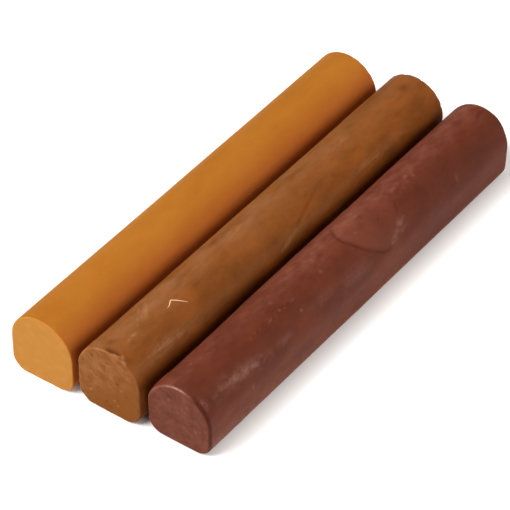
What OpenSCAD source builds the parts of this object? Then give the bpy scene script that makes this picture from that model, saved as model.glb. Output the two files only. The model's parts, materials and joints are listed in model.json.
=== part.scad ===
// Set of three furniture repair wax sticks, lying side by side.
// Each stick is one solid bar of coloured wax, cast in an open mould: a flat base,
// upright flanks, a half-round top, and two end faces with a softened edge all round.
// The moulds have one width and were filled to different depths.
// +X runs along the sticks, from their near ends to their far ends, and +Z is up.
// The flat bases rest on z = 0, and the origin is the middle of the set's footprint.

/* [Section] */
// Width of every stick across its two upright flanks
stick_w = 11.6; // [9:0.1:15]
// Radius of the two long corners beside the flat base
foot_r = 2.6; // [1.6:0.1:3]

/* [Flank heights] */
// Height of the ochre stick's upright flanks, where its half-round top begins
ochre_flank = 6.3; // [4:0.1:9]
// Height of the brown stick's upright flanks, the deepest pour of the set
brown_flank = 6.7; // [4:0.1:9]
// Height of the mahogany stick's upright flanks, the shallowest pour of the set
mahogany_flank = 5.8; // [4:0.1:9]

/* [Lengths] */
// Length of the ochre stick, the shortest of the set
stick_len = 80; // [50:0.5:120]
// How much longer the brown stick is
brown_extra = 1; // [0:0.1:6]
// How much longer the mahogany stick is
mahogany_extra = 1; // [0:0.1:6]

/* [End edges] */
// Radius of the edge round each end of the ochre stick, the crispest of the set
ochre_end_r = 0.3; // [0.2:0.05:1.4]
// Radius of the edge round each end of the brown stick
brown_end_r = 0.6; // [0.2:0.05:1.4]
// Radius of the edge round each end of the mahogany stick, the most worn of the set
mahogany_end_r = 0.8; // [0.2:0.05:1.4]

/* [Layout] */
// Clear gap between the ochre and brown sticks
ochre_gap = 0.7; // [0.3:0.05:8]
// Clear gap between the brown and mahogany sticks
mahogany_gap = 0.7; // [0.3:0.05:8]
// How far the brown stick's near end stands back from the ochre one's
brown_setback = 0.25; // [0:0.05:10]
// How far the mahogany stick's near end stands back from the ochre one's
mahogany_setback = 1.1; // [0:0.05:10]

/* [Hidden] */

$fn = 96;

// Radius of the half-round top, which meets the flanks without a step
crown_r = stick_w / 2;

brown_len = stick_len + brown_extra;
mahogany_len = stick_len + mahogany_extra;

// Footprint of the whole set, which is centred on the origin
set_len = max(stick_len, brown_setback + brown_len, mahogany_setback + mahogany_len);
set_w = 3 * stick_w + ochre_gap + mahogany_gap;
near_x = -set_len / 2;

ochre_y = set_w / 2 - crown_r;
brown_y = ochre_y - stick_w - ochre_gap;
mahogany_y = brown_y - stick_w - mahogany_gap;

// Slice of a stick from an inner line out to its skin: depth across, len along,
// with the two outer corners rounded by the end radius
module skin_slice(depth, len, end_r) {
    difference() {
        square([depth, len]);
        translate([depth - end_r, 0])
            corner_waste(end_r);
        translate([depth - end_r, len])
            mirror([0, 1])
                corner_waste(end_r);
    }
}

// What rounding takes off a square corner
module corner_waste(r) {
    difference() {
        square([r, r]);
        translate([0, r])
            circle(r);
    }
}

// Half-round top: the slice turned half a turn about the middle of the arch
module crown(len, flank_h, end_r) {
    translate([0, flank_h, 0])
        rotate_extrude(angle = 180)
            skin_slice(crown_r, len, end_r);
}

// One upright flank and the wax behind it: the slice drawn straight up from the foot
module flank(len, flank_h, end_r) {
    translate([0, flank_h, 0])
        rotate([90, 0, 0])
            linear_extrude(flank_h - foot_r)
                skin_slice(crown_r, len, end_r);
}

// One long rounded corner beside the base: the slice turned a quarter turn
module foot_corner(len, end_r) {
    translate([crown_r - foot_r, foot_r, 0])
        rotate([0, 0, -90])
            rotate_extrude(angle = 90)
                skin_slice(foot_r, len, end_r);
}

// Flat base between the two rounded corners: the slice drawn straight across
module base(len, end_r) {
    translate([crown_r - foot_r, foot_r, 0])
        rotate([90, 0, -90])
            linear_extrude(stick_w - 2 * foot_r)
                skin_slice(foot_r, len, end_r);
}

// Heart of the stick: a block of full length that reaches into every piece of the skin,
// so that they join through solid wax and not only face to face
module heart(len, flank_h, end_r) {
    reach = (foot_r - end_r) / 2;
    half_w = crown_r - foot_r + reach;
    translate([-half_w, foot_r - reach, 0])
        cube([2 * half_w, flank_h - foot_r + 2 * reach, len]);
}

// A whole stick: its end edge keeps one radius all the way round the outline
module wax_stick(len, flank_h, end_r) {
    rotate([90, 0, 90]) {
        heart(len, flank_h, end_r);
        crown(len, flank_h, end_r);
        flank(len, flank_h, end_r);
        mirror([1, 0, 0])
            flank(len, flank_h, end_r);
        foot_corner(len, end_r);
        mirror([1, 0, 0])
            foot_corner(len, end_r);
        base(len, end_r);
    }
}

module ochre_stick() {
    color("#c07a2c")
        translate([near_x, ochre_y, 0])
            wax_stick(stick_len, ochre_flank, ochre_end_r);
}

module brown_stick() {
    color("#7d4e22")
        translate([near_x + brown_setback, brown_y, 0])
            wax_stick(brown_len, brown_flank, brown_end_r);
}

module mahogany_stick() {
    color("#5c2a22")
        translate([near_x + mahogany_setback, mahogany_y, 0])
            wax_stick(mahogany_len, mahogany_flank, mahogany_end_r);
}

ochre_stick();
brown_stick();
mahogany_stick();
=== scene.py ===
# %% [markdown]
# # A set of furniture repair wax sticks
#
# Three loose bars of soft coloured wax lie side by side: ochre, brown and mahogany. Each was poured
# into an open trough and turned out, so the trough's round bottom became the stick's half-round top,
# and the open side, where the wax cooled level, became the flat base.
#
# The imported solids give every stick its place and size. Here each one is dressed with a finer skin
# that carries the marks of casting and handling, and the plain solid stays behind for the physics.

# %% Load the solids
import json
from types import SimpleNamespace

import bpy
import numpy as np
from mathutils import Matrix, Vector

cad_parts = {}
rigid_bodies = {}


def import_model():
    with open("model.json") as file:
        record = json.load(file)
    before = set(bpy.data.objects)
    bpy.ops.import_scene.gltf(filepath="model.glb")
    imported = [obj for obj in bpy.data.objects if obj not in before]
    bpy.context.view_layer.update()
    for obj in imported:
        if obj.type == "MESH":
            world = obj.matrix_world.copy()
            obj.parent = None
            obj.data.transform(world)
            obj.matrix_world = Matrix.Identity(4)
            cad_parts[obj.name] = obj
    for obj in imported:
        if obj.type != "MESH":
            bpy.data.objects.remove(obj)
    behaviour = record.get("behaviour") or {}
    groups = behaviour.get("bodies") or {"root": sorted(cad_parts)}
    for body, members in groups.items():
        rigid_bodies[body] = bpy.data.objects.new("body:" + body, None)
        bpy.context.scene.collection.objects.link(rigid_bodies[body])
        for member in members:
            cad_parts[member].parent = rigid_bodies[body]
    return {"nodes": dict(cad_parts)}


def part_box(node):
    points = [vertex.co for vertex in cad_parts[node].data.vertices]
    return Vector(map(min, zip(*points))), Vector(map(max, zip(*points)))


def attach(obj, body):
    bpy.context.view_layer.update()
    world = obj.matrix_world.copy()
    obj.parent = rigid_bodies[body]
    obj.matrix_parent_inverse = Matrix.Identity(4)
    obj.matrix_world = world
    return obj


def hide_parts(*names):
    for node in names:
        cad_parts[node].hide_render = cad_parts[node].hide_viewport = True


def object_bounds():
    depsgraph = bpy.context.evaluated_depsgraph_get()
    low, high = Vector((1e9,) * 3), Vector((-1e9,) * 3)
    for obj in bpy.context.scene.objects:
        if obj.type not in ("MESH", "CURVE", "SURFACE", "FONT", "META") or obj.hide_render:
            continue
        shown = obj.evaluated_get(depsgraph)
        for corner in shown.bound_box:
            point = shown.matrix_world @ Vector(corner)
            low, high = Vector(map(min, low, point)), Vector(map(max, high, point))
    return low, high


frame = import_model()
cad_low, cad_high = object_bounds()
MM = 0.001
print("solids:", sorted(frame["nodes"]), "box in mm:", (np.array(cad_high - cad_low) / MM).round(2))

# %% [markdown]
# ## The camera
#
# The picture looks down on the near ends from the left. A long lens far away keeps the sticks almost
# parallel, as a product photographer would have it. The place follows from two angles and a distance,
# so it can be turned or moved back by one number at a time.

# %% Place the camera
# Distances and offsets of the aim are in metres, the lens and the sensor in mm
CAMERA_AZIMUTH = np.radians(-53.96)
CAMERA_ELEVATION = np.radians(41.1)
CAMERA_DISTANCE = 0.4968
CAMERA_LENS = 224.4
SENSOR_WIDTH = 36
NEAREST_SEEN = 0.01
AIM_RIGHT = -0.0023
AIM_UP = 0.0018

level = np.cos(CAMERA_ELEVATION)
back = Vector((np.sin(CAMERA_AZIMUTH) * level,
               -np.cos(CAMERA_AZIMUTH) * level,
               np.sin(CAMERA_ELEVATION)))
right = Vector((np.cos(CAMERA_AZIMUTH), np.sin(CAMERA_AZIMUTH), 0))
aim = right * AIM_RIGHT + back.cross(right) * AIM_UP

camera_data = bpy.data.cameras.new("product_camera")
camera_data.sensor_width = SENSOR_WIDTH
camera_data.lens = CAMERA_LENS
camera_data.clip_start = NEAREST_SEEN
camera = bpy.data.objects.new("product_camera", camera_data)
camera.location = aim + back * CAMERA_DISTANCE
camera.rotation_mode = "QUATERNION"
camera.rotation_quaternion = (-back).to_track_quat("-Z", "Y")
bpy.context.scene.collection.objects.link(camera)
bpy.context.scene.camera = camera
print("camera at", [round(v, 4) for v in camera.location])

# %% [markdown]
# ## The section of a stick
#
# Seen from the end, a stick is a D lying on its flat side. A lathe or a bevelled cube could give the
# outline, but a formula of the length walked round it is more useful: every mark on the skin can then
# be placed by how far it lies along the stick and how far round from the crown, in millimetres.

# %% Walk round the section
# Radius of the two long corners beside the base, in mm, as the solids have it
FOOT_RADIUS = 2.6


def section_lengths(width, height):
    """Lengths walked from the crown to the ends of the arch, flank, foot and half of the base.

    The arch and the foot are quarter circles, and the flank and the base are what is left between them.
    """
    crown_radius = width / 2
    arch_end = np.pi / 2 * crown_radius
    flank_end = arch_end + height - crown_radius - FOOT_RADIUS
    foot_end = flank_end + np.pi / 2 * FOOT_RADIUS
    return arch_end, flank_end, foot_end, foot_end + crown_radius - FOOT_RADIUS


def section(walk, width, height):
    """Across and up of the section's points, and of its outward normals, at lengths walked.

    Down either side the outline is a quarter circle of half the width, an upright flank, a quarter
    circle of the foot radius and the flat base. Positive lengths go down the -Y side.
    """
    arch_end, flank_end, foot_end, _ = section_lengths(width, height)
    crown_radius = width / 2
    length = np.abs(walk)
    arch = np.clip(length, 0, arch_end) / crown_radius
    drop = np.clip(length - arch_end, 0, flank_end - arch_end)
    foot = np.clip(length - flank_end, 0, foot_end - flank_end) / FOOT_RADIUS
    inward = np.clip(length - foot_end, 0, None)
    across = crown_radius * np.sin(arch) - FOOT_RADIUS * (1 - np.cos(foot)) - inward
    up = height - crown_radius * (1 - np.cos(arch)) - drop - FOOT_RADIUS * np.sin(foot)
    side = np.where(walk < 0, 1.0, -1.0)
    return side * across, up, side * np.sin(arch + foot), np.cos(arch + foot)


def box_mm(node):
    """Lowest and highest corners of a solid, in mm."""
    low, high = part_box(node)
    return np.array(low) / MM, np.array(high) / MM


ochre_low, ochre_high = box_mm("ochre_stick")
ochre_length, ochre_width, ochre_tall = ochre_high - ochre_low
print("walk from the ochre crown in mm:", np.round(section_lengths(ochre_width, ochre_tall), 2))

# %% [markdown]
# ## The skin as a grid
#
# Rings of that section are carried from the middle of the near face, out over its rounded edge, along
# the body, over the far edge and in to the middle of the far face. One grid then wraps the whole bar
# with no seam to hide. Steps are finest over the arch, which shows most, and widest under the base.

# %% Steps round and along
# All steps in mm
ARCH_STEP, FLANK_STEP, FOOT_STEP, BASE_STEP = 0.15, 0.2, 0.3, 0.5
NEAR_ZONE, NEAR_STEP, BODY_STEP = 4.0, 0.14, 0.21


def walk_round(width, height):
    """Lengths walked, from the middle of the base up the left side, over the crown and down the right.

    Each stretch of the outline is cut into equal steps, and the left side mirrors the right.
    """
    ends = (0, *section_lengths(width, height))
    steps = (ARCH_STEP, FLANK_STEP, FOOT_STEP, BASE_STEP)
    one_side = np.concatenate([
        np.linspace(start, stop, int(round((stop - start) / step)), endpoint=False)
        for start, stop, step in zip(ends[:-1], ends[1:], steps)])
    return np.concatenate([[-ends[-1]], -one_side[:0:-1], one_side])


def body_places(length):
    """Places of the body's rings as shares of the length: even steps, finer near the end that shows."""
    near = np.arange(NEAR_STEP, NEAR_ZONE, NEAR_STEP)
    places = np.concatenate([near, np.arange(NEAR_ZONE, length, BODY_STEP)])
    return places[places < length - BODY_STEP / 2, None] / length


print("points round the ochre section:", len(walk_round(ochre_width, ochre_tall)),
      "rings along its body:", len(body_places(ochre_length)))

# %% [markdown]
# ## The ends
#
# The ends differ. An edge can be crisp over the crown and worn round down the sides, the crown can
# droop where soft wax was pressed down towards the end, a foot can be rubbed off, and a far face can
# lean back from top to bottom because the stick was broken off rather than sawn. A bevel would give
# each edge a single radius, so every end is described by a few numbers of its own instead.

# %% Shape the ends
FACE_RINGS, EDGE_RINGS = 30, 7
# Rise of the normal from which an edge starts to be crown, and at which it is nothing else
CROWN_FROM, CROWN_TO = 0.45, 0.9
# Rise of the normal at which the droop of the crown is full
DROOP_TO = 0.8
# Width of the wear at a foot, in mm round
FOOT_WEAR_WIDTH = 2.8


def ramp(value, start, stop):
    """0 up to start, 1 past stop, and three squares less two cubes of the share between them.

    With start above stop it falls instead of rising.
    """
    share = np.clip((value - start) / (stop - start), 0, 1)
    return share * share * (3 - 2 * share)


def bell(offset, width):
    """Bell curve: 1 at no offset, and falling off by the square of the offset over the width."""
    return np.exp(-(offset / width) ** 2)


def partly(share, least):
    """A share from 0 to 1, squeezed into the range from a least value to 1."""
    return least + (1 - least) * share


def end_shape(top, side, droop=0, run=3, foot=0, lean=0):
    """An end in mm: edge radius over the crown and down the sides, and its wear.

    The droop of the crown and the wear of the left foot reach in over a run. The lean is the share
    of the height by which the face falls back at its base.
    """
    return SimpleNamespace(top=top, side=side, droop=droop, run=run, foot=foot, lean=lean)


def end_rings(end, normal_up):
    """Distance from the end, inset, share of the section and turn of the rings over a face and its edge.

    Over the face the share grows from the middle to 1. Over the edge the inset runs from the edge
    radius to nothing as a quarter circle, while the normal turns from the axis to square on it. The
    radius itself changes smoothly from its value over the crown to its value down the sides.
    """
    radius = end.side + (end.top - end.side) * ramp(normal_up, CROWN_FROM, CROWN_TO)
    face = np.linspace(0, 1, FACE_RINGS, endpoint=False)[1:]
    share = np.concatenate([face, np.ones(EDGE_RINGS)])[:, None]
    turn = np.concatenate([0 * face, np.linspace(0, np.pi / 2, EDGE_RINGS)])[:, None]
    return radius * (1 - np.cos(turn)), radius * (1 - np.sin(turn)), share, turn


def end_wear(distance, end, walk, normal_up, foot_middle):
    """Extra inset near an end, by the square of what is left of its run, at the crown and left foot."""
    fall = np.clip(1 - distance / end.run, 0, 1) ** 2
    foot = bell(walk + foot_middle, FOOT_WEAR_WIDTH)
    return fall * (end.droop * ramp(normal_up, 0, DROOP_TO) + end.foot * foot)


# The near end and the far end of each stick
END_SHAPES = {
    "ochre_stick": (end_shape(0.18, 0.25), end_shape(0.3, 0.3)),
    "brown_stick": (end_shape(0.3, 0.5, droop=0.12, foot=0.2), end_shape(0.45, 0.5)),
    "mahogany_stick": (end_shape(0.32, 0.5, droop=0.55, foot=0.1), end_shape(0.5, 0.8, lean=0.075))}
print("near crown edges in mm:", {node: near.top for node, (near, _) in END_SHAPES.items()})

# %% [markdown]
# ## Rings into a whole stick
#
# The rows of the near end, the body and the far end are stacked into one table of rings. Each ring is
# the section, drawn in by its inset and shrunk by its share, so faces, edges and body come from the
# same few lines. The grid also keeps what later steps ask for: how much a point belongs to an end
# face, to an edge, to the base or to the body between them.

# %% Carry the section along the stick
# How far from the far end a leaning face is felt, in mm
LEAN_RUN = 6.0


def stick_grid(node, near, far):
    """Points and normals of a plain stick, in mm from the middle of its near foot.

    A point is the section's point, moved in along the normal by the inset, then shrunk towards the
    middle of the face by the ring's share. The normal turns from the axis to the section's normal.
    """
    low, high = box_mm(node)
    length, width, height = high - low
    walk = walk_round(width, height)
    across, up, normal_across, normal_up = section(walk, width, height)
    _, flank_end, foot_end, _ = section_lengths(width, height)
    foot_middle = (flank_end + foot_end) / 2

    near_x, near_inset, near_share, near_turn = end_rings(near, normal_up)
    far_x, far_inset, far_share, far_turn = (rows[::-1] for rows in end_rings(far, normal_up))
    body = body_places(length)
    body_x = near_x[-1] + body * (length - far_x[0] - near_x[-1])
    x = np.concatenate([near_x, body_x, length - far_x])
    inset = np.concatenate([near_inset, 0 * body_x, far_inset])
    inset = inset + end_wear(x, near, walk, normal_up, foot_middle)
    inset = inset + end_wear(length - x, far, walk, normal_up, foot_middle)
    share = np.concatenate([near_share, 0 * body + 1, far_share])
    turn = np.concatenate([near_turn, 0 * body + np.pi / 2, np.pi - far_turn])

    y = share * (across - inset * normal_across)
    z = height / 2 + share * (up - inset * normal_up - height / 2)
    x = x - far.lean * (height - z) * ramp(x, length - LEAN_RUN, length)
    facing = (-np.cos(turn), np.sin(turn) * normal_across, np.sin(turn) * normal_up)
    normals = np.stack(np.broadcast_arrays(*facing), -1)
    rows = np.broadcast_to(turn, x.shape)
    face = np.abs(np.cos(rows))
    base = np.clip(-normals[..., 2], 0, 1)
    return SimpleNamespace(
        node=node, length=length, width=width, height=height,
        origin=np.array([low[0], (low[1] + high[1]) / 2, low[2]]),
        points=np.stack([x, y, z], -1), normals=normals, x=x, y=y, z=z,
        walk=np.broadcast_to(walk, x.shape), edge=np.sin(2 * rows) ** 2,
        face=face, base=base, body=(1 - face) * (1 - base))


grids = {node: stick_grid(node, *ends) for node, ends in END_SHAPES.items()}
for node, grid in grids.items():
    print(node, "mm:", np.round([grid.length, grid.width, grid.height], 2), "grid", grid.walk.shape)

# %% [markdown]
# ## Unevenness of cast wax
#
# Wax shrinks as it sets and is soft enough to take dents, so no face is quite flat. Gradient noise is
# the usual stand-in: random slopes at the corners of a lattice of cells, blended smoothly inside each
# cell. The cell's size in millimetres is the size of the lumps, and a long cell gives streaks.

# %% Smooth noise on whole arrays
LATTICE = 32
# Brings the peaks to about 1
NOISE_GAIN = 1.5


def lumps(points, cell, seed):
    """Gradient noise, about -1 to 1, in cells of the given size.

    Each corner of a cell gives its random slope times the offset from it, and the eight are blended
    by a curve of the fifth degree that is level at both ends.
    """
    slopes = np.random.default_rng(seed).normal(size=(LATTICE, LATTICE, LATTICE, 3))
    slopes /= np.linalg.norm(slopes, axis=-1, keepdims=True)
    place = points / np.asarray(cell, float)
    corner = np.floor(place).astype(int)
    offset = place - corner
    fade = offset ** 3 * (offset * (offset * 6 - 15) + 10)
    total = np.zeros(points.shape[:-1])
    for step in np.ndindex(2, 2, 2):
        slope = slopes[tuple(np.moveaxis((corner + step) % LATTICE, -1, 0))]
        weight = np.where(step, fade, 1 - fade).prod(-1)
        total += weight * ((offset - step) * slope).sum(-1)
    return NOISE_GAIN * total


wave = lumps(grids["ochre_stick"].points, (15, 7, 7), seed=1)
print("noise from", wave.min().round(2), "to", wave.max().round(2))

# %% [markdown]
# ## Marks on the skin
#
# Pits, crumbs, scores and creases are placed on the unrolled skin by millimetres along and round the
# stick. A bell curve of the distance from a point makes a pit or a crumb, and the same curve of the
# distance from a line makes a score. They are real relief, so they show from every side.

# %% Bands and spots on the skin
# The near end's edge lies within this many mm
NEAR_END = 2


def band(grid, middle, width):
    """Bell curve of the length walked round the stick, 1 along a middle line."""
    return bell(grid.walk - middle, width)


def near_edge(grid):
    """The rounded edge of the near end alone: 1 halfway round it."""
    return grid.edge * (grid.x < NEAR_END)


def spot(grid, along, walk, size_along, size_walk=None):
    """Bell curve, 1 at a point of the unrolled skin, that falls off over the given sizes."""
    size_walk = size_walk or size_along
    return bell(grid.x - along, size_along) * band(grid, walk, size_walk) * (1 - grid.face)


def spots(grid, places):
    """The highest of several spots. Each place gives along, round, the two sizes and a strength."""
    return np.maximum.reduce([strength * spot(grid, *place) for *place, strength in places])


def face_spots(grid, places, size):
    """The highest of several bell curves on the near face, placed across and up from its foot."""
    near_face = grid.face * (grid.x < grid.length / 2)
    return np.maximum.reduce([bell(np.hypot(grid.y - across, grid.z - up), size) * near_face
                              for across, up in places])


sample = spot(grids["ochre_stick"], 40, 0, 0.5)
print("points inside a spot of 0.5 mm:", (sample > np.exp(-1)).sum())

# %% [markdown]
# ### Scores and creases
#
# A crease in soft wax is a furrow along a bent line. It could be sculpted with a brush, but a stroke
# is hard to repeat, so each one is a short list of points, and the furrow is worked out from the
# distance to the nearest stretch between them.

# %% Scores along lines


def line_distance(grid, path):
    """Distance from a line of points on the unrolled skin, and the share of its length nearest by.

    For each straight stretch the nearest place is the foot of the perpendicular, kept within it.
    """
    path = np.asarray(path, float)
    steps = np.diff(path, axis=0)
    lengths = np.hypot(*steps.T)
    begins = np.cumsum(lengths) - lengths
    nearest = np.full(grid.x.shape, np.inf)
    share = np.zeros(grid.x.shape)
    for start, step, length, begin in zip(path, steps, lengths, begins):
        along = grid.x - start[0]
        climb = grid.walk - start[1]
        at = np.clip((along * step[0] + climb * step[1]) / length ** 2, 0, 1)
        distance = np.hypot(along - at * step[0], climb - at * step[1])
        share = np.where(distance < nearest, (begin + at * length) / lengths.sum(), share)
        nearest = np.minimum(distance, nearest)
    return nearest, share


def score(grid, path, half_width):
    """Bell curve of the distance from a line, thinned out at both ends by the root of a sine."""
    distance, share = line_distance(grid, path)
    return bell(distance, half_width) * np.sqrt(np.sin(np.pi * share)) * (1 - grid.face)


def scores(grid, lines):
    """The highest of several scores. Each line gives its path, its half width and a strength."""
    return np.maximum.reduce([strength * score(grid, path, width) for path, width, strength in lines])


sample = score(grids["ochre_stick"], [(30, 0), (50, 0)], 0.3)
print("points on a score of 20 mm:", (sample > np.exp(-1)).sum())

# %% [markdown]
# ### Streaks and pinholes
#
# Handling leaves streaks that wind round the bar at a slant, and trapped air leaves pinholes. A
# particle system could strew the holes, but seeded random numbers give the same ones on every run.

# %% Slanting streaks and pinholes
# Pinholes lie this far from the ends, in mm, and between these lengths round from the crown
PINHOLE_MARGIN = 1
PINHOLE_WALK = (-9, 13)
# Least and greatest share of the given size, and of the full depth
PINHOLE_SIZES = (0.6, 1.5)
PINHOLE_DEPTHS = (0.3, 1)


def slanted(grid, slant, cell, seed):
    """Noise in long cells that climb round the stick, as handling leaves its marks.

    The noise reads the unrolled skin after a turn by the slant.
    """
    turn = np.radians(slant)
    along = grid.x * np.cos(turn) + grid.walk * np.sin(turn)
    climb = grid.walk * np.cos(turn) - grid.x * np.sin(turn)
    return lumps(np.stack([along, climb, 0 * along], -1), (*cell, 1), seed) * grid.body


def pinholes(grid, count, size, seed):
    """Small round pits strewn evenly over the body, as air leaves them in poured wax. Deepest is 1."""
    draw = np.random.default_rng(seed)
    along = draw.uniform(PINHOLE_MARGIN, grid.length - PINHOLE_MARGIN, count)
    walk = draw.uniform(*PINHOLE_WALK, count)
    width = size * draw.uniform(*PINHOLE_SIZES, count)
    depth = draw.uniform(*PINHOLE_DEPTHS, count)
    return spots(grid, zip(along, walk, width, width, depth))


sample = pinholes(grids["ochre_stick"], 4, 0.3, seed=2)
print("deepest of four pinholes:", sample.max().round(2))

# %% [markdown]
# ## Adding forms up
#
# Every stick's skin is a sum of named forms, such as waves, streaks, pits and crumbs. A table gives
# each form's height in millimetres, and more tables say how strongly it shows in five masks from 0 to
# 1, which tell the finish where the wax is hollow, dry and pale, dirty, rubbed or polished, and where
# a sheen, glints, bounce light and shade are painted into its colour. So each height and strength
# stands beside a name, and can be tuned without touching the others.

# %% Sum forms, settle them and make masks
# The wear, bloom and stain masks also carry painted light: sheen, glints, bounce light and shade
MASKS = ("hollow", "bloom_and_painted_light", "stain_and_painted_light", "worn", "polish")
# Depth of the hollow in the base, where the open side of the pour shrank, in mm
BASE_SINK = 0.1
# Share of the relief that is missing under the base, which set level
BASE_CALM = 0.8
# From which and to which distance from an end the hollow grows, in mm
SINK_GROWS = (1, 6)
# Least downward part of the normal that counts as the flat of the base
FLAT = 0.999
# Where a stick shrank away from its trough: a band, and the stretch over which it starts, in mm
SHRUNK_BAND, SHRUNK_STARTS = (-5.7, 2.5), (0.5, 5)


def added(forms, amounts):
    """Sum of the named forms, each times its amount."""
    return sum(amount * forms[name] for name, amount in amounts.items())


def base_sink(grid):
    """Hollow of the base: 1 less the square of the way out to the feet, and nothing at the two ends."""
    within = 1 - (grid.y / (grid.width / 2 - FOOT_RADIUS)) ** 2
    ends = ramp(grid.x, *SINK_GROWS) * ramp(grid.length - grid.x, *SINK_GROWS)
    return BASE_SINK * np.clip(within, 0, 1) * ends * (grid.base > FLAT)


def settle(grid, skin, depth):
    """Relief that stays within the solid: sunk by a depth, calmed under the base and cut off at 0."""
    sunk = skin * (1 - BASE_CALM * grid.base) - depth * (1 - grid.base)
    return np.minimum(sunk - base_sink(grid), 0)


def left_shoulder(grid):
    """Bell curve round the left shoulder, faded in from the near end."""
    return band(grid, *SHRUNK_BAND) * ramp(grid.x, *SHRUNK_STARTS) * (1 - grid.face)


def finish_masks(grid, forms, recipe):
    """Each mask as the sum of its forms, kept from 0 to 1, and 0 where the recipe leaves it out."""
    return {mask: np.clip(0 * grid.x + added(forms, recipe.get(mask, {})), 0, 1) for mask in MASKS}


print("base sinks by", base_sink(grids["ochre_stick"]).max().round(3), "mm")

# %% [markdown]
# ## The ochre stick's relief
#
# This is the cleanest of the three: a smooth skin with long, low waves, faint flow lines along the
# bar, a few pinholes, and a crisp edge round the near face with only small nicks. Its right flank is
# painted a redder tinge, as bounce light from the brown stick beside it.

# %% Shape the ochre skin
# Where the painted bounce light on the right flank starts and is full, in mm round from the crown
BOUNCE_LIGHT_ROUND = (1.5, 7.5)
OCHRE_BLISTERS = ((33.4, 3.0, 0.45, 0.45, 1), (20.6, 2.3, 0.7, 0.22, 0.8))
# Heights and depths in mm
OCHRE_RAISED = {"waves": 0.045, "flow": 0.010, "grain": 0.008, "wiped": 0.015, "blisters": 0.05}
OCHRE_SUNK = 0.03
OCHRE_CUT = {"holes": 0.06, "nicks": 0.08}
OCHRE_MASKS = {
    "hollow": {"holes": 0.25, "nicks": 0.2},
    "bloom_and_painted_light": {"wiped_dry": 0.2},
    "stain_and_painted_light": {"painted_bounce_light": 0.42},
    "worn": {"edge": 0.4}}


def ochre_forms(grid):
    """The ochre skin's forms: noise in round cells, long cells and on the faces, and scattered pits."""
    wiped = grid.face * lumps(grid.points, (1, 1.6, 1.3), seed=16)
    return {
        "waves": lumps(grid.points, (15, 7, 7), seed=11),
        "flow": lumps(grid.points, (8, 1.3, 1.3), seed=12),
        "grain": lumps(grid.points, 0.9, seed=13),
        "holes": pinholes(grid, 40, 0.26, seed=14),
        "nicks": grid.edge * ramp(lumps(grid.points, 0.9, seed=15), 0.15, 0.6),
        "blisters": spots(grid, OCHRE_BLISTERS),
        "wiped": wiped,
        "wiped_dry": grid.face * ramp(wiped, -0.2, 0.8),
        # Painted bounce light: a redder tinge on the right flank, from the brown stick beside it
        "painted_bounce_light": ramp(grid.walk, *BOUNCE_LIGHT_ROUND) * grid.body,
        "edge": grid.edge}


ochre_grid = grids["ochre_stick"]
ochre = ochre_forms(ochre_grid)
ochre_height = settle(ochre_grid, added(ochre, OCHRE_RAISED), OCHRE_SUNK) - added(ochre, OCHRE_CUT)
ochre_masks = finish_masks(ochre_grid, ochre, OCHRE_MASKS)
print("ochre relief in mm from", ochre_height.min().round(3), "to", ochre_height.max().round(3))

# %% [markdown]
# ## The brown stick's relief
#
# The brown stick has been handled. Streaks run along it, a long crease crosses the right shoulder,
# drag marks cross the top near the end, and the near edge has been pushed up into a lip with crumbs
# behind it. Its near face was torn rather than cut: it is granular, pitted and scored on a slant, with
# a few raised shreds whose glints are painted pale.

# %% Places of the brown stick's marks
# Lines and spots are in mm along and round. A spot ends with its two sizes and its strength
CREASE = [(36.2, 7.1), (41.5, 5.45), (46.0, 3.9), (49.5, 2.85), (53.5, 2.2)]
CREVICE = [(0.6, -0.7), (0.75, 0.4), (0.8, 1.4), (0.7, 2.1)]
BROWN_SCRAPES = (([(3.0, 1.3), (4.8, 0.9), (6.8, 1.2)], 0.28, 0.5), (CREASE[:2], 0.32, 0.8))
BROWN_DRY = (
    (8.8, 5.3, 5.2, 0.95, 0.7), (63, 5.4, 6, 0.6, 0.5),
    (58.8, -0.1, 2.8, 0.5, 0.55), (33, -0.6, 3, 1, 0.35))
BROWN_DIRT = (
    (77.2, 0.1, 1.1, 1.0, 0.75), (19.8, 1.6, 1.1, 0.6, 0.45), (2.1, -0.8, 0.8, 0.7, 0.55),
    (1.2, 3.4, 0.7, 0.6, 0.4), (0.6, 2.3, 0.5, 1.1, 0.6), (9, 3.2, 6, 0.8, 0.2),
    (71.5, 2.9, 1.3, 0.28, 0.4), (60.2, 2.4, 0.9, 0.25, 0.4), (53.4, 3.2, 0.5, 0.35, 0.4),
    (74.6, 1.2, 0.9, 0.3, 0.3))
# Raised shreds, painted pale as glints, are in mm across and up on the near face
BROWN_SHREDS_AND_GLINTS = ((-1.8, 2.4), (-1.2, 3.2), (-2.6, 5.9), (3.3, 3.2), (2.9, 7.0))
SHRED_SIZE = 0.18
print("brown marks:", len(BROWN_DRY), "dry,", len(BROWN_DIRT), "dirty,", len(BROWN_SHREDS_AND_GLINTS), "shreds_and_painted_glints")

# %% [markdown]
# ### Crumbs, drags and tears
#
# Crumbs have heaped up behind the near edge, a few scratches run off to the left of them, and the end
# face is torn in slanting furrows. All three are strewn or stretched with the helpers above, so only
# their places and counts are new.

# %% Crumbs, drag marks and torn faces
# Crumbs lie and measure between these values, in mm
CRUMBS = 9
CRUMB_ALONG, CRUMB_WALK, CRUMB_SIZES = (0.15, 0.9), (1.0, 3.6), (0.3, 0.46)
# Drag marks start and reach between these values along, in mm, and climb by a slope
DRAG_MARKS = 6
DRAG_STARTS, DRAG_REACHES = (6.4, 11.5), (2.2, 5.0)
DRAG_WALK, DRAG_SLOPE, DRAG_HALF_WIDTH = 0.5, -0.8, 0.16
TEAR_SLANT = np.radians(35)


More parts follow.
